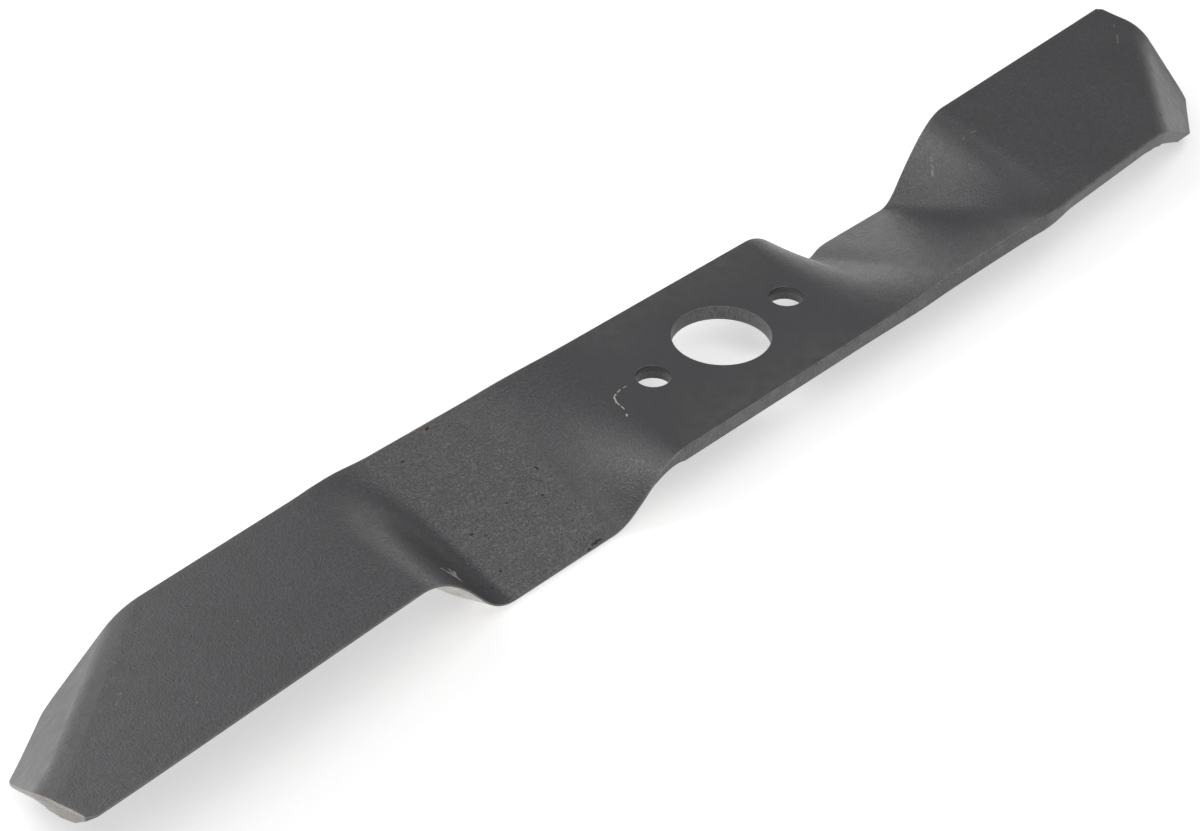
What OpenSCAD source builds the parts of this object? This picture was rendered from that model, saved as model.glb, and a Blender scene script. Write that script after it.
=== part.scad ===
// Rotary lawn mower blade, pressed from one flat steel bar.
// It lies with its ground side up, so the cutting edges are ground on the underside.
// X runs along the bar and Z up, and the origin is the middle of the bore, on the upper face.
// One wing is worked out here, with its cutting edge on +Y, and the other is that wing
// turned half a turn about Z.

/* [Bar] */
// Overall length of the blade
blade_l = 410; // [340:1:480]
// Width of the bar
bar_w = 50; // [44:0.5:58]
// Thickness of the bar with its coat of paint
bar_t = 4.1; // [3:0.1:6]
// Size of the broken edge along the lower corners
edge_break = 0.3; // [0.1:0.05:0.6]

/* [Mounting holes] */
// Diameter of the bore in the middle
bore_d = 25.4; // [12:0.1:28]
// Diameter of each of the two drive pin holes
pin_d = 9; // [5:0.1:11]
// Distance between the drive pin holes
pin_pitch = 48.8; // [44:0.2:56]

/* [Inner ramp] */
// Where the ramp leaves the flat middle, on the cutting side
inner_crest_cut = 37.5; // [34:0.5:42]
// Where it leaves the flat middle, on the trailing side
inner_crest_back = 26.5; // [22:0.5:34]
// Where it reaches the trough, on the cutting side
inner_foot_cut = 59.5; // [56:0.5:74]
// Where it reaches the trough, on the trailing side
inner_foot_back = 66.5; // [58:0.5:78]
// Length of the soft bend over its crest
inner_crest_l = 11.5; // [6:0.5:20]
// Length of the tight bend at its foot
inner_foot_l = 6.5; // [4:0.5:12]

/* [Trough] */
// Depth of the trough on the cutting side
trough_depth = 14.4; // [6:0.2:18]
// Height of the trough on the trailing side
trough_heel = 0.8; // [0:0.1:2]
// How far the trough is drawn towards the trailing side
trough_shift = 0.6; // [0:0.1:2]

/* [Outer ramp] */
// Where the ramp leaves the trough, on the cutting side
outer_foot_cut = 92; // [86:0.5:98]
// Where it leaves the trough, on the trailing side
outer_foot_back = 94; // [86:0.5:100]
// Where it reaches the outer wing, on the cutting side
outer_crest_cut = 120; // [114:0.5:130]
// Where it reaches the outer wing, on the trailing side
outer_crest_back = 117.5; // [112:0.5:128]
// Length of the tight bend at its foot
outer_foot_l = 7.5; // [4:0.5:12]
// Length of the soft bend over its crest
outer_crest_l = 11.5; // [6:0.5:20]

/* [Outer wing] */
// Height of the wing's cutting edge above the middle
wing_lift = 7.2; // [2:0.2:12]
// Height of its trailing edge above the middle
wing_heel = 0.6; // [0:0.1:2]
// Angle by which the wing is swept forward
wing_sweep = 3.2; // [0:0.1:6]
// Where the sweep starts
sweep_x = 111.5; // [104:0.5:116]

/* [End flap] */
// Length of the flap along the trailing edge, before it is folded
flap_l = 48.5; // [36:0.5:56]
// Angle between the crease and the length of the bar
flap_turn = 43; // [36:0.5:50]
// Angle by which the flap is folded down
flap_fold = 40.5; // [10:1:60]
// Radius of the fold on the upper face
flap_r = 10; // [7:0.5:16]
// Distance from the crease to the clipped corner, before it is folded
corner_cut = 21.4; // [18:0.2:26]
// Angle between the clipped corner and the crease
corner_skew = 7.5; // [0:0.5:12]

/* [Cutting edge] */
// Width of the ground bevel on the underside
bevel_w = 7.5; // [4:0.5:16]
// Width of the bevel at the outer end, where the wheel lifts away
bevel_tip_w = 5; // [3:0.5:16]
// Thickness that the grinding leaves at the edge
land_t = 0.4; // [0.3:0.1:1]
// Where the bevel starts, near the middle
bevel_start = 39; // [34:0.5:46]
// Length over which it runs in to its full width
bevel_runin = 11; // [6:0.5:20]
// Size of the small clip at the outer end of the cutting edge
nose_clip = 1.5; // [0.5:0.1:3]

/* [Hidden] */

// Divisions of the mesh: across the bar, and along the ramps, the wing, its end edge and the fold
across = 10;
ramp_steps = 16;
wing_steps = 3;
end_steps = 4;
fold_steps = 12;
// Reach across the face, as a share of its width, over which its slope is read
slope_reach = 0.05;
// Share of the outer wing's trailing edge that the rows up to the nose take up
nose_share = 0.7;
// Drills run past both faces by this much
drill_past = 1;
drill_fn = 96;

function lerp(a, b, t) = a + (b - a) * t;
function clamp(x, lo, hi) = min(max(x, lo), hi);
function unit(v) = v / norm(v);
function reverse(list) = [for (i = [len(list) - 1:-1:0]) list[i]];
function half_turn(p) = [-p.x, -p.y, p.z];
// Point where the line through p along d meets the line through q along e
function meet(p, d, q, e) =
    p + d * ((q.x - p.x) * e.y - (q.y - p.y) * e.x) / (d.x * e.y - d.y * e.x);

// Rise of a ramp of length l, from 0 to 1, with a bend of length a at its start
// and one of length b at its end. The bends shorten together if they don't fit.
function ramp(x, l, a, b) =
    let (fit = min(1, l / (a + b)), p = a * fit, q = b * fit, whole = l - (p + q) / 2)
    (x < p ? x * x / (2 * p)
     : x < l - q ? x - p / 2
     : whole - (l - x) * (l - x) / (2 * q)) / whole;
function inner_rise(t) =
    let (l = inner_foot_cut - inner_crest_cut)
    ramp(t * l, l, inner_crest_l, inner_foot_l);
function outer_rise(t) =
    let (l = outer_crest_cut - outer_foot_cut)
    ramp(t * l, l, outer_foot_l, outer_crest_l);

// Half of the width that the bar covers in plan when one side stands dz above the other
function half_plan(dz) = sqrt(bar_w * bar_w - dz * dz) / 2;
// Sideways offset of the swept wing's middle line
function sweep_y(x) = max(0, x - sweep_x) * tan(wing_sweep);

// One row of a ramp, as its trailing point and its cutting point
function row(back_x, cut_x, back_z, cut_z, shift) =
    let (half = half_plan(cut_z - back_z))
    [[back_x, sweep_y(back_x) - shift - half, back_z],
     [cut_x, sweep_y(cut_x) - shift + half, cut_z]];
function inner_row(t) =
    let (k = inner_rise(t))
    row(lerp(inner_crest_back, inner_foot_back, t), lerp(inner_crest_cut, inner_foot_cut, t),
        trough_heel * k, -trough_depth * k, trough_shift * k);
function outer_row(t) =
    let (k = outer_rise(t))
    row(lerp(outer_foot_back, outer_crest_back, t), lerp(outer_foot_cut, outer_crest_cut, t),
        lerp(trough_heel, wing_heel, k), lerp(-trough_depth, wing_lift, k), trough_shift * (1 - k));

// The outer wing before its flap is folded is a flat bar, laid out in plan by its end edge,
// which is square to the swept bar
along = [cos(wing_sweep), sin(wing_sweep)];
aside = [-sin(wing_sweep), cos(wing_sweep)];
wing_half = half_plan(wing_lift - wing_heel);
crease_turn = flap_turn - wing_sweep;
// The end edge reaches furthest out a little past the crease, where the fold has turned
// by furthest_turn, and the overall length is measured there
furthest_turn = min(acos(1 - sin(wing_sweep) / sin(flap_turn) / cos(crease_turn)), flap_fold);
furthest_arc = flap_r * furthest_turn * PI / 180;
furthest_out = furthest_arc / cos(crease_turn) * sin(wing_sweep)
    - (furthest_arc - flap_r * sin(furthest_turn)) * sin(flap_turn);
crease_end = flap_l * tan(crease_turn) - wing_half;
end_x = blade_l / 2 - furthest_out + crease_end * sin(wing_sweep);
end_mid = [end_x, sweep_y(end_x)];
nose = end_mid + aside * wing_half;
heel = end_mid - aside * wing_half;
crease_p = heel - along * flap_l;
crease_d = [cos(flap_turn), sin(flap_turn)];
crease_n = [sin(flap_turn), -cos(flap_turn)];
clip_angle = flap_turn - corner_skew;
clip_d = [cos(clip_angle), sin(clip_angle)];
clip_p = crease_p + crease_n * corner_cut + crease_d * (flap_l / 2 + corner_cut) * cos(flap_turn);

// Height of the wing's plane over a point in plan
function wing_z(p) =
    lerp(wing_heel, wing_lift, ((p - end_mid) * aside + wing_half) / (2 * wing_half));

// The fold: what lies past the crease is rolled down over flap_r and then runs straight
fold_arc = flap_r * flap_fold * PI / 180;
function fold_out(d) = d < fold_arc ? flap_r * sin(d / flap_r * 180 / PI)
    : flap_r * sin(flap_fold) + (d - fold_arc) * cos(flap_fold);
function fold_down(d) = d < fold_arc ? flap_r * (1 - cos(d / flap_r * 180 / PI))
    : flap_r * (1 - cos(flap_fold)) + (d - fold_arc) * sin(flap_fold);
function folded(p) =
    let (flat = [p.x, p.y], d = (flat - crease_p) * crease_n)
    d <= 0 ? p
    : let (q = flat - crease_n * (d - fold_out(d)))
      [q.x, q.y, wing_z(q) - fold_down(d)];

// Rows of the outer wing: a pair of points in plan, set on the wing's plane
function wing_row(back, cut) = [[back.x, back.y, wing_z(back)], [cut.x, cut.y, wing_z(cut)]];
function fold_row(d) =
    let (p = crease_p + crease_n * d)
    wing_row(meet(p, crease_d, heel, along), meet(p, crease_d, nose, aside));
wing_root = outer_row(1);
root_back = [wing_root[0].x, wing_root[0].y];
root_cut = [wing_root[1].x, wing_root[1].y];
crease_at_end = meet(crease_p, crease_d, nose, aside);
nose_in = nose - unit(nose - root_cut) * nose_clip;
function nose_row(back_share, cut) = wing_row(lerp(root_back, crease_p, back_share), cut);

// Every row from the flat middle to the clipped corner
rows = concat(
    [for (i = [0:ramp_steps]) inner_row(i / ramp_steps)],
    [for (i = [0:ramp_steps]) outer_row(i / ramp_steps)],
    [for (i = [1:wing_steps])
        nose_row(nose_share * i / wing_steps, lerp(root_cut, nose_in, i / wing_steps))],
    [for (i = [0:end_steps - 1])
        nose_row(lerp(nose_share, 1, (i + 1) / (end_steps + 1)),
                 lerp(nose - aside * nose_clip, crease_at_end, i / end_steps))],
    [for (i = [0:fold_steps]) fold_row(fold_arc * i / fold_steps)],
    [wing_row(meet(clip_p, clip_d, heel, along), meet(clip_p, clip_d, nose, aside))]);
last_row = len(rows) - 1;
first_end_row = 2 * (ramp_steps + 1) + wing_steps;

// Distance of a row's cutting point from the line of the cutting edge
function off_edge(i) = i < first_end_row ? 0
    : (nose - [rows[i][1].x, rows[i][1].y]) * aside;
// Width of the bevel where a row meets the cutting edge
function bevel_here(i) =
    let (out = (rows[i][1].x - outer_crest_cut) / (nose.x - outer_crest_cut))
    lerp(bevel_w, bevel_tip_w, clamp(out, 0, 1));
// How much of the bevel a row has, from 0 to 1
function bevel_share(i) =
    clamp((rows[i][1].x - bevel_start) / bevel_runin, 0, 1)
    * clamp(1 - off_edge(i) / bevel_here(i), 0, 1);

// Point of the upper face on row i, at share v from the trailing side to the cutting side
function face_point(i, v) = folded(lerp(rows[i][0], rows[i][1], v));
function face_normal(i, v) = i == 0 ? [0, 0, 1]
    : unit(cross(face_point(min(i + 1, last_row), v) - face_point(i - 1, v),
                 face_point(i, min(v + slope_reach, 1)) - face_point(i, max(v - slope_reach, 0))));
function below(i, v, depth) = face_point(i, v) - face_normal(i, v) * depth;

// One closed section of the bar on row i: the upper face, the cutting side,
// the underside, and the trailing side
function section_parts(i) =
    let (share = bevel_share(i),
         rim = edge_break / bar_w,
         inset = max(rim, share * bevel_here(i) / (bar_w - off_edge(i))))
    [[for (j = [0:across]) face_point(i, j / across)],
     [below(i, 1, lerp(bar_t - edge_break, land_t, share))],
     [for (j = [across:-1:0]) below(i, lerp(rim, 1 - inset, j / across), bar_t)],
     [below(i, 0, bar_t - edge_break)]];
function joined(parts) = concat(parts[0], parts[1], parts[2], parts[3]);
function turned(parts) =
    [for (p = concat(reverse(parts[0]), parts[3], reverse(parts[2]), parts[1])) half_turn(p)];
sections = concat(
    [for (i = [last_row:-1:0]) turned(section_parts(i))],
    [for (i = [0:last_row]) joined(section_parts(i))]);
ring = len(sections[0]);

// Two triangles for each four-cornered patch between neighbouring sections
patches = [for (i = [0:len(sections) - 2]) for (j = [0:ring - 1])
    let (a = i * ring + j, b = i * ring + (j + 1) % ring)
    each [[a, b, b + ring], [a, b + ring, a + ring]]];
end_caps = [
    [for (j = [ring - 1:-1:0]) j],
    [for (j = [0:ring - 1]) (len(sections) - 1) * ring + j]];

// The pressed bar, with its ground edges
module pressed_bar() {
    polyhedron(points = [for (s = sections) each s], faces = concat(patches, end_caps));
}

module drill(d, x) {
    translate([x, 0, -bar_t - drill_past])
        cylinder(d = d, h = bar_t + 2 * drill_past, $fn = drill_fn);
}

module blade() {
    color([0.29, 0.29, 0.3])
        difference() {
            pressed_bar();
            drill(bore_d, 0);
            drill(pin_d, -pin_pitch / 2);
            drill(pin_d, pin_pitch / 2);
        }
}

blade();
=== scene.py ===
import math

import bpy
import numpy as np
from mathutils import Matrix, Vector, geometry


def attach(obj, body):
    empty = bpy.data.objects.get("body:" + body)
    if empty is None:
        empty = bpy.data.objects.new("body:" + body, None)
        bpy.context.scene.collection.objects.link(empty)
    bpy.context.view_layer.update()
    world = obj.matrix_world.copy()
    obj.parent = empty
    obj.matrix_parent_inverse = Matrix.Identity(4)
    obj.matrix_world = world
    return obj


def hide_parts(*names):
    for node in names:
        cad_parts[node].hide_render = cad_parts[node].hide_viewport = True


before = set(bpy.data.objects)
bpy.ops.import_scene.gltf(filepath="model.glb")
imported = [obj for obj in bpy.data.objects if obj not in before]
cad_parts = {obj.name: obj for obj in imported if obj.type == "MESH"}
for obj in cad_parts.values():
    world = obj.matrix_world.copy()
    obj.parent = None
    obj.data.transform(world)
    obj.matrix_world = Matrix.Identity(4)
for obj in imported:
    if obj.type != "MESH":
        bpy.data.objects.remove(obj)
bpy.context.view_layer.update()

# Pressed blade
# One bar of steel strip, blanked and punched, pressed into two pitched wings with folded ends,
# and dipped in thin satin dark grey paint, which also covers the cut faces. Both cutting edges
# are ground on the underside after the paint. Sizes are in millimetres.
METRES = 0.001
blade_length = 410.0
bar_width = 50.0
bar_thickness = 4.1
lower_break = 0.3
upper_roll = 0.45
upper_roll_at_bevel = 0.2

inner_crest_cut, inner_crest_back = 37.5, 26.5
inner_foot_cut, inner_foot_back = 59.5, 66.5
inner_crest_bend, inner_foot_bend = 11.5, 6.5
trough_depth, trough_heel, trough_shift = 14.4, 0.8, 0.6
outer_foot_cut, outer_foot_back = 92.0, 94.0
outer_crest_cut, outer_crest_back = 120.0, 117.5
outer_foot_bend, outer_crest_bend = 7.5, 11.5
wing_lift, wing_heel = 7.2, 0.6
wing_sweep = math.radians(3.2)
sweep_start = 111.5
flap_length = 48.5
flap_turn = math.radians(43.0)
flap_fold = math.radians(40.5)
flap_radius = 10.0
corner_cut = 21.4
corner_skew = math.radians(7.5)
bevel_width, bevel_tip_width = 7.5, 5.0
land_thickness = 0.4
bevel_start, bevel_runin = 39.0, 11.0
nose_clip = 1.5
nose_share = 0.7

across_columns = 36
side_points = 7
ramp_rows = 44
trough_rows = 30
wing_rows = 90
end_rows = 10
fold_rows = 24
flap_rows = 20
corner_round, nose_corner = 3.0, 1.2
corner_turns = np.linspace(0, math.pi / 2, 11)[1:]


def between(a, b, share):
    return a + (b - a) * share


def unit(v):
    return v / np.linalg.norm(v, axis=-1, keepdims=True)


def rise_of_ramp(x, length, start_bend, end_bend):
    """Share of a ramp's height that is reached at x, with a soft bend at each end."""
    whole = length - (start_bend + end_bend) / 2
    rise = np.where(x < start_bend, x * x / (2 * start_bend), x - start_bend / 2)
    rise = np.where(x > length - end_bend, whole - (length - x) ** 2 / (2 * end_bend), rise)
    return rise / whole


def swept(x):
    return np.maximum(0, x - sweep_start) * math.tan(wing_sweep)


def rows_across(back_x, cut_x, back_z, cut_z, shift):
    """Rows from the trailing side to the cutting side, each bar_width long."""
    half = np.sqrt(bar_width ** 2 - (cut_z - back_z) ** 2) / 2
    back = np.stack([back_x, swept(back_x) - shift - half, back_z], 1)
    cut = np.stack([cut_x, swept(cut_x) - shift + half, cut_z], 1)
    return back, cut


def meeting(p, along_p, q, along_q):
    gap = q - p
    turn = along_p[0] * along_q[1] - along_p[1] * along_q[0]
    return p + along_p * (gap[0] * along_q[1] - gap[1] * along_q[0]) / turn


along = np.array([math.cos(wing_sweep), math.sin(wing_sweep)])
aside = np.array([-math.sin(wing_sweep), math.cos(wing_sweep)])
wing_half = math.sqrt(bar_width ** 2 - (wing_lift - wing_heel) ** 2) / 2
crease_turn = flap_turn - wing_sweep
furthest_turn = math.acos(1 - math.sin(wing_sweep) / math.sin(flap_turn) / math.cos(crease_turn))
furthest_arc = flap_radius * furthest_turn
furthest_out = (furthest_arc / math.cos(crease_turn) * math.sin(wing_sweep)
                - (furthest_arc - flap_radius * math.sin(furthest_turn)) * math.sin(flap_turn))
crease_end = flap_length * math.tan(crease_turn) - wing_half
end_x = blade_length / 2 - furthest_out + crease_end * math.sin(wing_sweep)
end_middle = np.array([end_x, float(swept(end_x))])
nose = end_middle + aside * wing_half
heel = end_middle - aside * wing_half
crease = heel - along * flap_length
crease_along = np.array([math.cos(flap_turn), math.sin(flap_turn)])
crease_out = np.array([math.sin(flap_turn), -math.cos(flap_turn)])
clip_along = np.array([math.cos(flap_turn - corner_skew), math.sin(flap_turn - corner_skew)])
clip = (crease + crease_out * corner_cut
        + crease_along * (flap_length / 2 + corner_cut) * math.cos(flap_turn))
fold_arc = flap_radius * flap_fold
first_end_row = 2 * (ramp_rows + 1) + trough_rows + wing_rows


def wing_height(plan):
    """Height of the outer wing's plane over points in plan."""
    share = ((plan - end_middle) @ aside + wing_half) / (2 * wing_half)
    return between(wing_heel, wing_lift, share)


def fold_flap(points):
    """Rolls down whatever lies past the crease."""
    past = np.maximum((points[..., :2] - crease) @ crease_out, 0)
    turned = np.minimum(past, fold_arc) / flap_radius
    straight = np.maximum(past - fold_arc, 0)
    out = flap_radius * np.sin(turned) + straight * math.cos(flap_fold)
    down = flap_radius * (1 - np.cos(turned)) + straight * math.sin(flap_fold)
    plan = points[..., :2] - (past - out)[..., None] * crease_out
    folded = np.concatenate([plan, (wing_height(plan) - down)[..., None]], -1)
    return np.where((past > 0)[..., None], folded, points)


# The press leaves the two wings a little different: how far each inner ramp has slipped out at
# its crest and foot, the depth of the trough, the outer ramp's slip and bends, the lift of the
# cutting side, the flap's drop, swelling and rounded corner at the heel, how far the strip is
# drawn in at the inner ramp's foot, and how far the flap's end is pushed out
far_press = {"crest_slip": -1.7, "foot_slip": -1.0, "depth": trough_depth, "outer_slip": 0.0,
             "foot_bend": outer_foot_bend, "crest_bend": outer_crest_bend,
             "root_lift": 0.0, "nose_lift": 0.0,
             "clip_lift": -0.6, "heel_drop": 1.7, "heel_swell": 1.3, "heel_corner": 0.3,
             "foot_draw": 2.0, "end_push": 0.6}
near_press = {"crest_slip": 1.7, "foot_slip": 1.2, "depth": 14.7, "outer_slip": -0.3,
              "foot_bend": 9.6, "crest_bend": 15.0, "root_lift": -0.55, "nose_lift": 0.4,
              "clip_lift": -0.6, "heel_drop": 0.0, "heel_swell": 0.0, "heel_corner": 2.6,
              "foot_draw": 0.0, "end_push": 1.0}
foot_draw_reach = 5.0
drop_easing = 1.5


def wing_outline(press):
    """Trailing and cutting ends of every row before the flap is folded, the lift that the press
    gave each row's cutting end, and the drop of its trailing end."""
    t = np.linspace(0, 1, ramp_rows + 1)
    length = inner_foot_cut - inner_crest_cut
    rise = rise_of_ramp(t * length, length, inner_crest_bend, inner_foot_bend)
    slip = between(press["crest_slip"], press["foot_slip"], t)
    parts = [rows_across(between(inner_crest_back, inner_foot_back, t) + slip,
                         between(inner_crest_cut, inner_foot_cut, t) + slip,
                         trough_heel * rise, -press["depth"] * rise, trough_shift * rise)]
    t = np.linspace(0, 1, trough_rows + 2)[1:-1]
    slip = between(press["foot_slip"], press["outer_slip"], t)
    parts.append(rows_across(between(inner_foot_back, outer_foot_back, t) + slip,
                             between(inner_foot_cut, outer_foot_cut, t) + slip,
                             np.full_like(t, trough_heel), np.full_like(t, -press["depth"]),
                             trough_shift))
    t = np.linspace(0, 1, ramp_rows + 1)
    length = outer_crest_cut - outer_foot_cut
    rise = rise_of_ramp(t * length, length, press["foot_bend"], press["crest_bend"])
    slip = press["outer_slip"] * (1 - t)
    parts.append(rows_across(between(outer_foot_back, outer_crest_back, t) + slip,
                             between(outer_foot_cut, outer_crest_cut, t) + slip,
                             between(trough_heel, wing_heel, rise),
                             between(-press["depth"], wing_lift, rise),
                             trough_shift * (1 - rise)))
    lift = [np.zeros(ramp_rows + 1 + trough_rows), press["root_lift"] * rise]
    root_back, root_cut = parts[-1][0][-1, :2], parts[-1][1][-1, :2]
    crease_at_end = meeting(crease, crease_along, nose, aside)
    nose_start = nose - unit(nose - root_cut) * nose_clip
    backs, cuts = [], []
    for i in range(1, wing_rows + 1):
        backs.append(between(root_back, crease, nose_share * i / wing_rows))
        cuts.append(between(root_cut, nose_start, i / wing_rows))
    for i in range(end_rows):
        share = between(nose_share, 1, (i + 1) / (end_rows + 1))
        backs.append(between(root_back, crease, share))
        cuts.append(between(nose - aside * nose_clip, crease_at_end, i / end_rows))
    for i in range(fold_rows + 1):
        p = crease + crease_out * fold_arc * i / fold_rows
        backs.append(meeting(p, crease_along, heel, along))
        cuts.append(meeting(p, crease_along, nose, aside))
    fold_back, fold_cut = backs[-1], cuts[-1]
    clip_back = meeting(clip, clip_along, heel, along)
    clip_cut = meeting(clip, clip_along, nose, aside)
    rounded = corner_round / (corner_cut - fold_arc)
    flat_shares = (1 - rounded) * np.arange(1, flap_rows + 1) / flap_rows
    for share in [*flat_shares, *(1 - rounded * (1 - np.sin(corner_turns)))]:
        backs.append(between(fold_back, clip_back, share))
        cuts.append(between(fold_cut, clip_cut, share))
    backs, cuts = np.array(backs), np.array(cuts)
    parts.append((np.concatenate([backs, wing_height(backs)[:, None]], 1),
                  np.concatenate([cuts, wing_height(cuts)[:, None]], 1)))
    stations = [0, wing_rows, wing_rows + end_rows + fold_rows, len(backs)]
    lifts = [press[place] for place in ("root_lift", "nose_lift", "nose_lift", "clip_lift")]
    lift.append(np.interp(np.arange(1, len(backs) + 1), stations, lifts))
    all_backs = np.concatenate([p[0] for p in parts])
    all_cuts = np.concatenate([p[1] for p in parts])
    from_foot = (all_cuts[:, 0] - inner_foot_cut - press["foot_slip"]) / foot_draw_reach
    all_cuts[:, 1] -= press["foot_draw"] * np.exp(-from_foot ** 2)
    past_crease = np.arange(len(all_cuts)) - first_end_row - end_rows
    share = np.clip(past_crease / (fold_rows + flap_rows), 0, 1)
    return all_backs, all_cuts, np.concatenate(lift), press["heel_drop"] * share ** drop_easing


# The wheel thins the bar towards the nose. The press pushes the flap's end out past the nose,
# which bows it, and swells the inside of the fold at the heel
tip_thinning, tip_reach = 0.45, 8.0
push_above = (0.3, 1.7, 2.2, 2.4, 1.8, 0.3)
push_below = (0.3, 1.4, 2.1, 2.4, 1.2, 0.0)
push_reach, swell_reach = 10.0, 6.0
swell_lead_rows, swell_full_share, swell_sag = 3, 0.55, 0.7
normal_reach, least_slant = 0.02, 0.3


def wing_rings(press):
    """Closed sections of one wing, each from the top's trailing side round to the same place."""
    backs, cuts, lift, drop = wing_outline(press)
    count = len(backs)
    rows = np.arange(count)
    fold_start = first_end_row + end_rows
    fold_end = fold_start + fold_rows
    push_stations = [first_end_row, fold_start, fold_start + fold_rows / 2, fold_end,
                     fold_end + flap_rows / 2, count]
    pushed_above = np.interp(rows, push_stations, push_above) * (rows >= first_end_row)
    pushed_below = np.interp(rows, push_stations, push_below) * (rows >= first_end_row)
    swell_stations = [fold_start - swell_lead_rows, fold_start + fold_rows * swell_full_share,
                      fold_end, count - 1]
    swelled = press["heel_swell"] * np.interp(rows, swell_stations, [0, 1, 1, 0])

    def face(v):
        v = np.asarray(v)[:, None]
        flat = backs * (1 - v) + cuts * v
        raise_by = lift[:, None] * v - drop[:, None] * (1 - v)
        return fold_flap(flat) + np.array([0, 0, 1.0]) * raise_by

    def below(v, depth):
        here = face(v)
        from_nose = np.linalg.norm(here[:, :2] - nose, axis=1)
        depth = depth * (1 - tip_thinning * np.exp(-from_nose / tip_reach))
        down_the_bar = np.gradient(here, axis=0)
        over = face(np.minimum(v + normal_reach, 1)) - face(np.maximum(v - normal_reach, 0))
        normal = unit(np.cross(down_the_bar, over))
        normal[0] = [0, 0, 1]
        deep = depth / bar_thickness
        from_end = np.clip(1 - (1 - v) * row_length / push_reach, 0, 1) ** 2
        push = press["end_push"] * from_end * between(pushed_above, pushed_below, deep)
        from_heel = np.clip(1 - v * row_length / swell_reach, 0, 1) ** 2
        swell = swelled * from_heel * deep
        return (here - normal * depth[:, None] + np.array([*along, 0]) * push[:, None]
                - np.array([*aside, swell_sag]) * swell[:, None])

    off_edge = np.zeros(count)
    off_edge[first_end_row:] = (nose - cuts[first_end_row:, :2]) @ aside
    out = np.clip((cuts[:, 0] - outer_crest_cut) / (nose[0] - outer_crest_cut), 0, 1)
    bevel_here = between(bevel_width, bevel_tip_width, out)
    bevel = (np.clip((cuts[:, 0] - bevel_start) / bevel_runin, 0, 1)
             * np.clip(1 - off_edge / bevel_here, 0, 1))
    row_length = np.linalg.norm(cuts - backs, axis=1)
    row_way = (cuts - backs) / row_length[:, None]

    def slant(ends):
        way = unit(np.gradient(ends, axis=0))
        return np.maximum(np.linalg.norm(np.cross(row_way, way), axis=1), least_slant)

    corner = np.zeros(count)
    corner[-len(corner_turns):] = 1 - np.cos(corner_turns)
    off_clip = np.full(count, lower_break)
    off_clip[-len(corner_turns):] = corner_round * (1 - np.sin(corner_turns))
    off_clip = np.minimum(off_clip, lower_break)
    squeeze = lower_break - np.sqrt(lower_break ** 2 - (lower_break - off_clip) ** 2)
    back_slant, cut_slant = slant(backs), slant(cuts)
    roll = between(upper_roll, upper_roll_at_bevel, bevel)
    roll_back = np.full(count, upper_roll)
    cut_v = roll / (row_length * cut_slant)
    back_v = roll_back / (row_length * back_slant)
    rim = np.full(count, lower_break / bar_width)
    inset = np.maximum(rim, bevel * bevel_here / (bar_width - off_edge))
    lower = between(bar_thickness - lower_break, land_thickness, bevel)
    lower_back = np.full(count, bar_thickness - lower_break)
    whole = np.full(count, bar_thickness)
    none = np.zeros(count)
    shares = np.arange(across_columns + 1) / across_columns
    ring = [(between(back_v, 1 - cut_v, share), none) for share in shares]
    rolled = [(1 - math.sin(a), 1 - math.cos(a)) for a in (math.pi / 6, math.pi / 3, math.pi / 2)]
    ring += [(1 - cut_v * side, roll * deep) for side, deep in rolled]
    ring += [(none + 1, between(roll, lower, 0.5)), (none + 1, lower)]
    ring += [(1 - inset * s, between(lower, whole, s)) for s in (1 / 3, 2 / 3)]
    ring += [(between(rim, 1 - inset, share), whole) for share in reversed(shares)]
    ring += [(rim * s, between(lower_back, whole, s)) for s in (2 / 3, 1 / 3)]
    ring += [(none, lower_back), (none, between(roll_back, lower_back, 0.5))]
    ring += [(back_v * side, roll_back * deep) for side, deep in reversed(rolled)]
    heel_end = corner * press["heel_corner"] / row_length
    nose_end = 1 - corner * nose_corner / row_length
    sections = []
    for v, depth in ring:
        v = between(heel_end, nose_end, v)
        sections.append(below(v, np.clip(depth, squeeze, bar_thickness - squeeze)))
    return np.stack(sections, 1), bevel


points, faces, finishes, rims = [], [], [], []
PAINT, CUT, GROUND, END = range(4)
# Weights of the rim lightening, strongest on the rolled crowns: thin paint and a painted edge highlight
rim_crown, rim_side, hole_rim = 1.0, 0.35, 0.4


def add_points(new, rim=0.0):
    first = len(points)
    points.extend(np.asarray(new).reshape(-1, 3))
    shape = np.shape(new)[:-1]
    rims.extend(np.broadcast_to(rim, shape).reshape(-1))
    return np.arange(first, len(points)).reshape(shape)


def add_face(corners, finish):
    faces.append([int(c) for c in corners])
    finishes.append(finish)


ring_size = 2 * (across_columns + 1) + 2 * side_points
top_last = across_columns
under_first = across_columns + 1 + side_points
under_last = under_first + across_columns
bevel_first = top_last + 5
ring_rims = np.zeros(ring_size)
ring_rims[[top_last + 1, top_last + 2, -1, -2]] = rim_crown
ring_rims[[top_last, top_last + 3, 0, -3]] = rim_side

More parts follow.
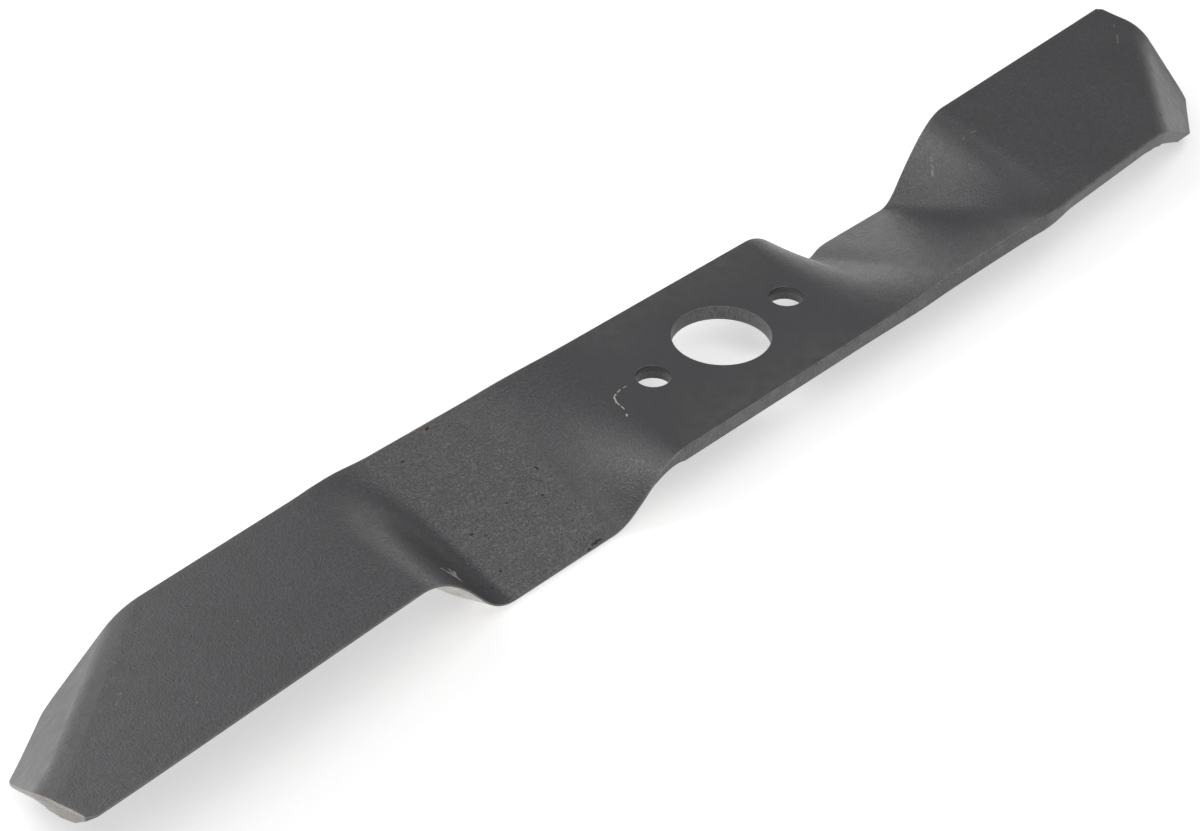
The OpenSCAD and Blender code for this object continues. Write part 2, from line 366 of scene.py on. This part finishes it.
wings = []
for turn, press in ((1, far_press), (-1, near_press)):
    rings, bevel = wing_rings(press)
    rings = rings * np.array([turn, turn, 1.0])
    index = add_points(rings, ring_rims)
    wings.append(index)
    for i in range(len(rings) - 1):
        for j in range(ring_size):
            k = (j + 1) % ring_size
            ground = bevel_first <= j < under_first and bevel[i] + bevel[i + 1] > 0
            flat = j < top_last or under_first <= j < under_last
            end_face = top_last <= j < under_first and i >= first_end_row
            finish = PAINT if flat else END if end_face else GROUND if ground else CUT
            add_face((index[i, j], index[i + 1, j], index[i + 1, k], index[i, k]), finish)
    last = index[-1]
    for j in range(across_columns):
        add_face((last[j], last[under_last - j], last[under_last - j - 1], last[j + 1]), CUT)
    add_face(last[top_last:under_first + 1][::-1], CUT)
    add_face([last[0], *last[:under_last - 1:-1]], CUT)

# The flat middle: two sheared sides, the flat faces, and the punched holes in them. A hole's
# wall is rolled at the top, sheared straight, and torn a little wider below. It is given as
# steps of widening and depth
side_steps, hole_steps = 42, 96
bore_radius, pin_radius, pin_pitch = 12.7, 4.5, 48.8
bore_wall = [(0.4, 0), (0.04, 0), (-0.07, 0.05), (-0.15, 0.22), (-0.15, 2.6),
             (-0.08, 3.3), (0, 3.95), (0.1, bar_thickness), (0.5, bar_thickness)]
pin_wall = [(0.4, 0), (0.02, 0), (-0.09, 0.05), (-0.15, 0.2), (-0.15, 1.8),
            (0.02, 2.5), (0.06, 3.9), (0.17, bar_thickness), (0.5, bar_thickness)]
roll_depth, pin_shear_depth = 0.2, 2.0
just_inside, join_gap = 0.9995, 1e-5
sharp_angle = math.radians(32)
right, left = wings[0][0], wings[1][0]


def join_side(cutting, trailing):
    """Side of the middle, from one wing's cutting side to the other's trailing side. Returns
    its inner points along the upper and the lower edge."""
    start = cutting[top_last:under_first + 1]
    end = np.concatenate([trailing[[0]], trailing[:under_last - 1:-1]])
    a = np.array([points[i] for i in start])
    b = np.array([points[i] for i in end])
    share = np.linspace(0, 1, side_steps + 1)[1:-1, None, None]
    inner = add_points(a + (b - a) * share, ring_rims[top_last:under_first + 1])
    strips = np.concatenate([start[None], inner, end[None]])
    for i in range(len(strips) - 1):
        for j in range(len(start) - 1):
            add_face((strips[i, j], strips[i, j + 1], strips[i + 1, j + 1], strips[i + 1, j]), CUT)
    return inner[:, 0], inner[:, -1]


far_top, far_under = join_side(right, left)
near_top, near_under = join_side(left, right)

holes = ((0, bore_radius, bore_wall), (pin_pitch / 2, pin_radius, pin_wall),
         (-pin_pitch / 2, pin_radius, pin_wall))
hole_rims = {0.0: [], bar_thickness: []}
for x, radius, wall in holes:
    angle = np.arange(hole_steps) * 2 * math.pi / hole_steps
    loops = []
    for flare, depth in wall:
        r = radius + flare
        circle = np.stack([x + r * np.cos(angle), r * np.sin(angle), np.full(hole_steps, -depth)], 1)
        loops.append(add_points(circle, hole_rim if 0 < depth < roll_depth else 0.0))
    for (_, upper_depth), (_, lower_depth), upper, lower in zip(wall, wall[1:], loops, loops[1:]):
        level = upper_depth == lower_depth
        smooth = wall is pin_wall and lower_depth < pin_shear_depth
        for i in range(hole_steps):
            k = (i + 1) % hole_steps
            add_face((upper[i], upper[k], lower[k], lower[i]), PAINT if level or smooth else CUT)
    hole_rims[0.0].append(loops[0])
    hole_rims[bar_thickness].append(loops[-1])

for depth, right_edge, left_edge, far_side, near_side in (
        (0.0, right[:top_last + 1], left[:top_last + 1], far_top, near_top),
        (bar_thickness, right[under_first:under_last + 1][::-1],
         left[under_first:under_last + 1][::-1], far_under, near_under)):
    outline = np.concatenate([right_edge, far_side, left_edge, near_side])
    known = [outline] + hole_rims[depth]
    order = np.concatenate(known)
    plan = [Vector((points[i][0], points[i][1])) for i in order]
    edges = []
    for loop in known:
        first = len(edges)
        edges += [(first + i, first + (i + 1) % len(loop)) for i in range(len(loop))]
    made, _, triangles, origin, _, _ = geometry.delaunay_2d_cdt(plan, edges, [], 1, join_gap)
    end_of_wall = 0 if depth == 0 else -1
    new = {}
    for t in triangles:
        middle = sum((made[c] for c in t), Vector((0, 0))) / 3
        if any((middle - Vector((x, 0))).length < (radius + wall[end_of_wall][0]) * just_inside
               for x, radius, wall in holes):
            continue
        corners = []
        for c in t:
            if origin[c]:
                corners.append(int(order[origin[c][0]]))
            else:
                if c not in new:
                    new[c] = int(add_points(np.array([[made[c][0], made[c][1], -depth]]))[0])
                corners.append(new[c])
        add_face(corners if depth == 0 else corners[::-1], PAINT)

mesh = bpy.data.meshes.new("pressed_blade")
mesh.from_pydata(np.array(points) * METRES, [], faces)
mesh.validate()
mesh.polygons.foreach_set("material_index", finishes)
rim_mark = mesh.attributes.new("rim", "FLOAT", "POINT")
rim_mark.data.foreach_set("value", rims)
for polygon in mesh.polygons:
    polygon.use_smooth = True
mesh.set_sharp_from_angle(angle=sharp_angle)
mesh.update()
blade = bpy.data.objects.new("pressed_blade", mesh)
bpy.context.scene.collection.objects.link(blade)
flat_shading = blade.modifiers.new("flat_shading", "WEIGHTED_NORMAL")
flat_shading.keep_sharp = True


def feed(tree, step, values):
    """Links or sets the inputs of a node in their order."""
    for socket, value in zip(step.inputs, values):
        if isinstance(value, bpy.types.NodeSocket):
            tree.links.new(value, socket)
        else:
            socket.default_value = value


def maths(tree, operation, *values):
    step = tree.nodes.new("ShaderNodeMath")
    step.operation = operation
    feed(tree, step, values)
    return step.outputs[0]


def vector_maths(tree, operation, *values):
    step = tree.nodes.new("ShaderNodeVectorMath")
    step.operation = operation
    feed(tree, step, values)
    return step.outputs["Value" if operation in ("DOT_PRODUCT", "LENGTH") else "Vector"]


def grain(tree, where, cells_per_mm, detail=2.0, distortion=0.0):
    """Cloudy noise over positions in millimetres, about 0 to 1."""
    step = tree.nodes.new("ShaderNodeTexNoise")
    tree.links.new(where, step.inputs["Vector"])
    step.inputs["Scale"].default_value = cells_per_mm
    step.inputs["Detail"].default_value = detail
    step.inputs["Distortion"].default_value = distortion
    return step.outputs[0]


def stretch(tree, where, scale):
    return vector_maths(tree, "MULTIPLY", where, scale)


def spread(tree, value, from_low, from_high, to_low, to_high):
    """Maps a range to another with a soft start and end."""
    step = tree.nodes.new("ShaderNodeMapRange")
    step.interpolation_type = "SMOOTHSTEP"
    feed(tree, step, (value, from_low, from_high, to_low, to_high))
    return step.outputs[0]


def blended(tree, share, under, over):
    step = tree.nodes.new("ShaderNodeMix")
    step.data_type = "RGBA"
    for socket, value in ((step.inputs[0], share), (step.inputs[6], under), (step.inputs[7], over)):
        if isinstance(value, bpy.types.NodeSocket):
            tree.links.new(value, socket)
        else:
            socket.default_value = value
    return step.outputs[2]


def raised(tree, height, distance, below=None):
    """Bump of the given height in millimetres, on top of a coarser one."""
    step = tree.nodes.new("ShaderNodeBump")
    step.inputs["Distance"].default_value = distance * METRES
    tree.links.new(height, step.inputs["Height"])
    if below is not None:
        tree.links.new(below, step.inputs["Normal"])
    return step.outputs[0]


def new_finish(name):
    """Material with its shader, and the position on the blade in millimetres."""
    material = bpy.data.materials.new(name)
    material.use_nodes = True
    tree = material.node_tree
    place = tree.nodes.new("ShaderNodeTexCoord")
    where = stretch(tree, place.outputs["Object"], (1000, 1000, 1000))
    return material, tree, tree.nodes["Principled BSDF"], where


# One stroke of a mark: 1 on the line from start to end, falling to 0 at its width, with a ragged
# edge
raggedness, stroke_core = 1.6, 0.5
stroke_group = bpy.data.node_groups.new("stroke", "ShaderNodeTree")
for socket_name, kind in (("Where", "NodeSocketVector"), ("Start", "NodeSocketVector"),
                          ("End", "NodeSocketVector"), ("Width", "NodeSocketFloat"),
                          ("Ragged", "NodeSocketFloat")):
    stroke_group.interface.new_socket(socket_name, in_out="INPUT", socket_type=kind)
stroke_group.interface.new_socket("Mark", in_out="OUTPUT", socket_type="NodeSocketFloat")
given = stroke_group.nodes.new("NodeGroupInput").outputs
from_start = vector_maths(stroke_group, "SUBTRACT", given["Where"], given["Start"])
whole_way = vector_maths(stroke_group, "SUBTRACT", given["End"], given["Start"])
gone = vector_maths(stroke_group, "DOT_PRODUCT", from_start, whole_way)
whole = vector_maths(stroke_group, "DOT_PRODUCT", whole_way, whole_way)
way_share = maths(stroke_group, "DIVIDE", gone, whole)
way_share = maths(stroke_group, "MAXIMUM", maths(stroke_group, "MINIMUM", way_share, 1.0), 0.0)
way_step = stroke_group.nodes.new("ShaderNodeVectorMath")
way_step.operation = "SCALE"
stroke_group.links.new(whole_way, way_step.inputs[0])
stroke_group.links.new(way_share, way_step.inputs["Scale"])
away = vector_maths(stroke_group, "LENGTH", vector_maths(stroke_group, "SUBTRACT", from_start,
                                                         way_step.outputs[0]))
uneven = maths(stroke_group, "SUBTRACT", given["Ragged"], 0.5)
uneven = maths(stroke_group, "MULTIPLY", uneven, raggedness)
reached = maths(stroke_group, "ADD", maths(stroke_group, "DIVIDE", away, given["Width"]), uneven)
mark_out = stroke_group.nodes.new("NodeGroupOutput")
stroke_group.links.new(spread(stroke_group, reached, stroke_core, 1.0, 1.0, 0.0), mark_out.inputs[0])


def marks(tree, where, ragged, strokes):
    """Greatest of several strokes, each given by its start, end and half width."""
    found = None
    for start, end, width in strokes:
        step = tree.nodes.new("ShaderNodeGroup")
        step.node_tree = stroke_group
        feed(tree, step, (where, start, end, width, ragged))
        found = step.outputs[0] if found is None else maths(tree, "MAXIMUM", found, step.outputs[0])
    return found


# Handling marks on the ground side: pale scratches beside a pin hole and a splayed scuff on the
# near outer ramp, faint scuffs on both wings, pits and chips where the paint missed the scale,
# and the rust round one of them. Each has its start, its end and its half width
scratches = (((-32.2, 1.7, 0), (-32.9, 1.8, 0), 0.16),
             ((-34.0, 1.8, 0), (-35.2, 1.5, 0), 0.2),
             ((-36.0, 1.3, 0), (-37.1, 0.8, -0.1), 0.22),
             ((-37.1, 0.8, -0.1), (-38.1, -1.1, -0.2), 0.26),
             ((-38.1, -1.1, -0.2), (-38.2, -2.2, -0.3), 0.22),
             ((-38.3, -2.9, -0.3), (-38.5, -4.1, -0.3), 0.2),
             ((-39.5, -5.8, -0.4), (-39.8, -6.3, -0.4), 0.26),
             ((-106.2, -15.4, -1.3), (-103.9, -17.7, -4.1), 0.5),
             ((-102.3, -13.2, -5.3), (-103.9, -17.7, -4.1), 0.5),
             ((-101.2, -13.6, -6.6), (-103.9, -17.7, -4.1), 0.5),
             ((-104.6, -16.6, -3.2), (-103.2, -17.6, -4.9), 1.1))
scuffs = (((-108.4, -11.0, 0.8), (-107.2, -12.9, -0.2), 0.2),
          ((-107.2, -12.9, -0.2), (-106.7, -14.1, -0.8), 0.2),
          ((106.9, 18.0, -1.0), (106.4, 17.1, -1.6), 0.28),
          ((105.5, 16.7, -2.4), (105.2, 15.6, -2.6), 0.3),
          ((104.5, 15.4, -3.3), (103.6, 14.5, -4.0), 0.5),
          ((113.9, 12.7, 4.3), (114.5, 12.9, 4.6), 0.25),
          ((116.9, 12.3, 5.3), (118.6, 11.8, 5.4), 0.22),
          ((199.7, 20.8, 6.0), (199.2, 20.4, 6.0), 0.35),
          ((195.6, 16.9, 5.5), (192.0, 14.0, 5.2), 0.28),
          ((190.3, 5.5, 3.9), (190.0, 5.2, 3.9), 0.35),
          ((-180.2, -2.9, 4.0), (-179.9, -2.9, 4.0), 0.25),
          ((-171.7, -17.4, 5.9), (-171.4, -17.4, 5.9), 0.25),
          ((-150.9, -2.5, 3.9), (-150.6, -2.5, 3.9), 0.25),
          ((160.8, -10.9, 2.1), (161.1, -10.9, 2.1), 0.25))
pits = (((-63.3, 0.9, -6.9), (-62.9, 0.2, -7.1), 0.27),
        ((-67.3, -5.8, -9.0), (-67.0, -5.9, -9.0), 0.34),
        ((-88.6, 18.7, -1.0), (-88.2, 18.6, -1.0), 0.29),
        ((-76.0, -2.9, -8.1), (-75.7, -2.9, -8.1), 0.23),
        ((-88.9, -4.8, -8.7), (-88.3, -5.0, -8.8), 0.23),
        ((-86.2, -6.9, -9.4), (-85.8, -7.1, -9.5), 0.22),
        ((-89.8, -15.7, -12.3), (-89.5, -15.9, -12.3), 0.27),
        ((-94.6, -18.3, -12.6), (-94.2, -18.3, -12.6), 0.27),
        ((-69.1, -22.9, -14.6), (-68.3, -22.8, -14.6), 0.3),
        ((-67.0, -22.2, -14.4), (-65.8, -22.4, -14.5), 0.32),
        ((-65.6, -22.0, -14.4), (-64.3, -22.3, -14.4), 0.28),
        ((-77.7, 22.7, 0.3), (-77.0, 22.9, 0.3), 0.41),
        ((171.8, -15.1, 0.7), (171.6, -15.9, 0.3), 0.34))
rust = (((-78.6, 22.5, 0.3), (-76.4, 22.9, 0.3), 1.1),)

paint_colour = (0.072, 0.0705, 0.0745, 1)
cloud_colour = (0.085, 0.083, 0.089, 1)
patch_colour = (0.056, 0.055, 0.0565, 1)
# Colour of the lightened rims: thin paint and a painted edge highlight
thin_paint_and_highlight_colour = (0.27, 0.255, 0.235, 1)
scratch_colour = (0.42, 0.39, 0.36, 1)
pit_colour = (0.028, 0.025, 0.023, 1)
rust_colour = (0.12, 0.09, 0.062, 1)
# How far the rims are lightened: thin paint and a painted edge highlight
rim_thinness_and_highlight = (0.05, 0.35)


def graded(tree, noise, low, high):
    """Spreads the part of a noise where most of it lies."""
    return spread(tree, noise, 0.3, 0.7, low, high)


def thin_rims_and_highlight(tree, patches):
    """How far the rims are lightened: only along the rims, and there in patches; thin paint and a
    painted edge highlight.
    """
    rim_read = tree.nodes.new("ShaderNodeAttribute")
    rim_read.attribute_name = "rim"
    return maths(tree, "MULTIPLY", rim_read.outputs["Fac"], graded(tree, patches, *rim_thinness_and_highlight))


# Paint on the rolled faces: an orange peel that is coarse where the press stretched the strip,
# over the ramps and the trough between them, and hardly seen on the flat middle
cloud_cells, patch_cells, ragged_cells, worm_cells, fine_cells = 0.035, 0.3, 2.6, 1.05, 2.4
inner_ramp_span, inner_ramp_peel = (30, 50), (0.18, 0.7)
outer_ramp_span, outer_ramp_peel = (88, 118), (1.0, 0.75)
peel_height, fine_height, pit_depth = 0.065, 0.008, 0.15
scuff_strength, rust_strength = 0.3, 0.6
paint_dullness, scratch_dullness, pit_dullness = (0.3, 0.36), 0.2, 0.4
paint, tree, shader, where = new_finish("satin_paint")
clouds = grain(tree, where, cloud_cells, 3.0)
patches = grain(tree, where, patch_cells, 4.0, 0.4)
ragged = grain(tree, where, ragged_cells, 3.0)
place = tree.nodes.new("ShaderNodeSeparateXYZ")
tree.links.new(where, place.inputs[0])
along_bar = maths(tree, "ABSOLUTE", place.outputs["X"])
stretched = maths(tree, "MULTIPLY", spread(tree, along_bar, *inner_ramp_span, *inner_ramp_peel),
                  spread(tree, along_bar, *outer_ramp_span, *outer_ramp_peel))
stretched = maths(tree, "MULTIPLY", stretched, graded(tree, clouds, 0.85, 1.15))
worms = grain(tree, where, worm_cells, 1.0, 0.6)
worms = maths(tree, "ABSOLUTE", maths(tree, "SUBTRACT", worms, 0.5))
peel = maths(tree, "MULTIPLY", spread(tree, worms, 0.0, 0.15, 0.0, 1.0), stretched)
pale = marks(tree, where, ragged, scratches)
faint = maths(tree, "MULTIPLY", marks(tree, where, ragged, scuffs), scuff_strength)
dark = marks(tree, where, ragged, pits)
rusted = maths(tree, "MULTIPLY", marks(tree, where, ragged, rust), rust_strength)
shade = blended(tree, graded(tree, clouds, 0.0, 0.3), paint_colour, cloud_colour)
shade = blended(tree, spread(tree, patches, 0.35, 0.75, 0.0, 0.25), shade, patch_colour)
# Lighter rims in patches: thin paint and a painted edge highlight
shade = blended(tree, thin_rims_and_highlight(tree, patches), shade, thin_paint_and_highlight_colour)
shade = blended(tree, rusted, shade, rust_colour)
shade = blended(tree, maths(tree, "MAXIMUM", pale, faint), shade, scratch_colour)
shade = blended(tree, dark, shade, pit_colour)
tree.links.new(shade, shader.inputs["Base Color"])
dullness = maths(tree, "ADD", graded(tree, patches, *paint_dullness),
                 maths(tree, "MULTIPLY", pale, scratch_dullness))
dullness = maths(tree, "ADD", dullness, maths(tree, "MULTIPLY", dark, pit_dullness))
tree.links.new(dullness, shader.inputs["Roughness"])
coarse = raised(tree, peel, peel_height)
fine = raised(tree, grain(tree, where, fine_cells, 2.0), fine_height, coarse)
sunk = raised(tree, maths(tree, "SUBTRACT", 1.0, dark), pit_depth, fine)
tree.links.new(sunk, shader.inputs["Normal"])
mesh.materials.append(paint)

# Paint on the sheared edges and the punched walls: upright streaks that the shear left, over
# shallow waves
cut_colour, cut_streak_colour = (0.095, 0.094, 0.096, 1), (0.18, 0.176, 0.174, 1)
cut_patch_colour = (0.23, 0.22, 0.21, 1)
streak_cells, streak_stretch, streak_height = 2.0, (1.0, 1.0, 0.3), 0.05
wave_cells, wave_stretch, wave_height = 0.5, (1.0, 1.0, 0.5), 0.15
cut_patch_cells, cut_dullness = 0.25, (0.4, 0.52)
cut_face, tree, shader, where = new_finish("painted_cut_face")
streaks = grain(tree, stretch(tree, where, streak_stretch), streak_cells, 3.0, 1.2)
waves = grain(tree, stretch(tree, where, wave_stretch), wave_cells, 1.0, 0.8)
patches = grain(tree, where, cut_patch_cells, 3.0)
shade = blended(tree, graded(tree, streaks, 0.0, 1.0), cut_colour, cut_streak_colour)
shade = blended(tree, spread(tree, patches, 0.45, 0.75, 0.0, 0.4), shade, cut_patch_colour)
# Lighter rims in patches: thin paint and a painted edge highlight
shade = blended(tree, thin_rims_and_highlight(tree, patches), shade, thin_paint_and_highlight_colour)
tree.links.new(shade, shader.inputs["Base Color"])
tree.links.new(graded(tree, streaks, *cut_dullness), shader.inputs["Roughness"])
wavy = raised(tree, waves, wave_height)
tree.links.new(raised(tree, streaks, streak_height, wavy), shader.inputs["Normal"])
mesh.materials.append(cut_face)

# Bare steel on the ground bevel, with the fine lines that the wheel left across the edge, and
# on the end faces the same lines over a lighter, warm colour: a painted reflection of the sheet
steel_line, steel_ridge = (0.47, 0.445, 0.415, 1), (0.66, 0.63, 0.59, 1)
# End faces: lighter, warm colour, a painted reflection of the white sheet
end_reflection_line, end_reflection_ridge = (0.28, 0.262, 0.245, 1), (0.42, 0.395, 0.368, 1)
stain_colour = (0.24, 0.225, 0.21, 1)
line_cells, line_height, stain_cells = 3.2, 0.03, 0.4
for name, metal, line_colour, ridge_colour, dullness, line_stretch in (
        ("ground_bevel", 1.0, steel_line, steel_ridge, (0.31, 0.41), (1.0, 0.08, 0.08)),
        # The end faces' lighter colour is a painted reflection of the white sheet
        ("end_face_painted_reflection", 0.0, end_reflection_line, end_reflection_ridge, (0.35, 0.45), (1.0, 1.0, 0.2))):
    ground_face, tree, shader, where = new_finish(name)
    wheel_lines = grain(tree, stretch(tree, where, line_stretch), line_cells, 3.0)
    stains = grain(tree, where, stain_cells, 3.0)
    shade = blended(tree, graded(tree, wheel_lines, 0.0, 1.0), line_colour, ridge_colour)
    shade = blended(tree, spread(tree, stains, 0.5, 0.75, 0.0, 0.6), shade, stain_colour)
    tree.links.new(shade, shader.inputs["Base Color"])
    tree.links.new(graded(tree, wheel_lines, *dullness), shader.inputs["Roughness"])
    tree.links.new(raised(tree, wheel_lines, line_height), shader.inputs["Normal"])
    shader.inputs["Metallic"].default_value = metal
    mesh.materials.append(ground_face)

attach(blade, "root")
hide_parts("blade")

# White sweep
# A plain white sheet under the blade, on which its troughs and flaps rest. It is wider than the
# view and is turned up all round, as a photographer's sweep is. Its sizes are in metres.
sheet_middle, sheet_flat, sheet_bend, sheet_height = 0.6, 2.4, 0.5, 0.8
sheet_turns, bend_steps = 96, 8
sheet_white, sheet_glow = 0.64, 0.58
sheet_profile = [(0.0, 0.0), (sheet_middle, 0.0), (sheet_flat, 0.0)]
for angle in np.linspace(0.1, 1, bend_steps) * math.pi / 2:
    sheet_profile.append((sheet_flat + sheet_bend * math.sin(angle), sheet_bend * (1 - math.cos(angle))))
sheet_profile.append((sheet_flat + sheet_bend, sheet_height))
floor_z = min(p[2] for p in points) * METRES
sheet_points = [(0, 0, floor_z)]
for out, up in sheet_profile[1:]:
    for turn in np.arange(sheet_turns) * 2 * math.pi / sheet_turns:
        sheet_points.append((out * math.cos(turn), out * math.sin(turn), floor_z + up))
sheet_faces = [(0, 1 + i, 1 + (i + 1) % sheet_turns) for i in range(sheet_turns)]
for ring in range(len(sheet_profile) - 2):
    for i in range(sheet_turns):
        k = (i + 1) % sheet_turns
        inner, outer = 1 + ring * sheet_turns, 1 + (ring + 1) * sheet_turns
        sheet_faces.append((inner + i, outer + i, outer + k, inner + k))
floor_mesh = bpy.data.meshes.new("white_sheet")
floor_mesh.from_pydata(sheet_points, [], sheet_faces)
for polygon in floor_mesh.polygons:
    polygon.use_smooth = True
floor = bpy.data.objects.new("white_sheet", floor_mesh)
bpy.context.scene.collection.objects.link(floor)
floor_material = bpy.data.materials.new("white_sheet")
floor_material.use_nodes = True
floor_tree = floor_material.node_tree
floor_tree.nodes.clear()
sheet = floor_tree.nodes.new("ShaderNodeBsdfDiffuse")
sheet.inputs["Color"].default_value = (sheet_white, sheet_white, sheet_white, 1)
glow = floor_tree.nodes.new("ShaderNodeEmission")
glow.inputs["Strength"].default_value = sheet_glow
both = floor_tree.nodes.new("ShaderNodeAddShader")
floor_tree.links.new(sheet.outputs[0], both.inputs[0])
floor_tree.links.new(glow.outputs[0], both.inputs[1])
ray = floor_tree.nodes.new("ShaderNodeLightPath").outputs
seen = maths(floor_tree, "MAXIMUM", ray["Is Camera Ray"], ray["Is Glossy Ray"])
seen = maths(floor_tree, "MAXIMUM", seen, ray["Is Transmission Ray"])
pick = floor_tree.nodes.new("ShaderNodeMixShader")
floor_tree.links.new(seen, pick.inputs[0])
floor_tree.links.new(sheet.outputs[0], pick.inputs[1])
floor_tree.links.new(both.outputs[0], pick.inputs[2])
table_out = floor_tree.nodes.new("ShaderNodeOutputMaterial")
floor_tree.links.new(pick.outputs[0], table_out.inputs["Surface"])
floor_mesh.materials.append(floor_material)

# Light and camera
# Soft round lamps stand about the blade, most of them high, in a dim plain room. Each has its
# turn about the blade and its height above it in degrees, and its power in watts.
room_light = 0.03
lamp_distance, lamp_width = 1.2, 0.62
lamps = ((0, 62, 2.7), (0, 88, 0.4), (45, 8, 0.5), (90, 32, 1.6), (120, 62, 1.4),
         (135, 42, 3.7), (180, 62, 0.9), (180, 26, 0.9), (225, 10, 3.0), (240, 62, 3.7))
world = bpy.data.worlds.new("dim_room")
world.use_nodes = True
world.node_tree.nodes["Background"].inputs["Color"].default_value = (1, 1, 1, 1)
world.node_tree.nodes["Background"].inputs["Strength"].default_value = room_light
bpy.context.scene.world = world
for turn, height, power in lamps:
    lamp_data = bpy.data.lights.new("soft_lamp", "AREA")
    lamp_data.shape = "DISK"
    lamp_data.size = lamp_width
    lamp_data.energy = power
    lamp = bpy.data.objects.new("soft_lamp", lamp_data)
    turn, height = math.radians(turn), math.radians(height)
    level = math.cos(height)
    way = Vector((math.cos(turn) * level, math.sin(turn) * level, math.sin(height)))
    lamp.location = way * lamp_distance
    lamp.rotation_euler = way.to_track_quat("Z", "Y").to_euler()
    lamp.visible_camera = False
    bpy.context.scene.collection.objects.link(lamp)

view_turn = math.radians(44.274)
view_height = math.radians(37.731)
view_roll = math.radians(-0.365)
sensor_width = 36.0
picture_width = 1200
focal_length = 2063.199
stand_off, aim_right, aim_up = 516.516, 30.391, 20.165
nearest_seen = 0.01
view_back = np.array([-math.sin(view_turn) * math.cos(view_height),
                      -math.cos(view_turn) * math.cos(view_height), math.sin(view_height)])
view_right = np.array([math.cos(view_turn), -math.sin(view_turn), 0.0])
view_up = np.cross(view_back, view_right)
rolled_right = math.cos(view_roll) * view_right + math.sin(view_roll) * view_up
rolled_up = -math.sin(view_roll) * view_right + math.cos(view_roll) * view_up
stand = (stand_off * view_back - aim_right * rolled_right - aim_up * rolled_up) * METRES
camera_data = bpy.data.cameras.new("camera")
camera_data.sensor_width = sensor_width
camera_data.lens = sensor_width * focal_length / picture_width
camera_data.clip_start = nearest_seen
camera = bpy.data.objects.new("camera", camera_data)
camera.matrix_world = Matrix([[*axis, 0] for axis in (rolled_right, rolled_up, view_back)]
                             + [[0, 0, 0, 1]]).transposed()
camera.location = Vector(stand)
bpy.context.scene.collection.objects.link(camera)
bpy.context.scene.camera = camera
bpy.context.scene.view_settings.view_transform = "Standard"
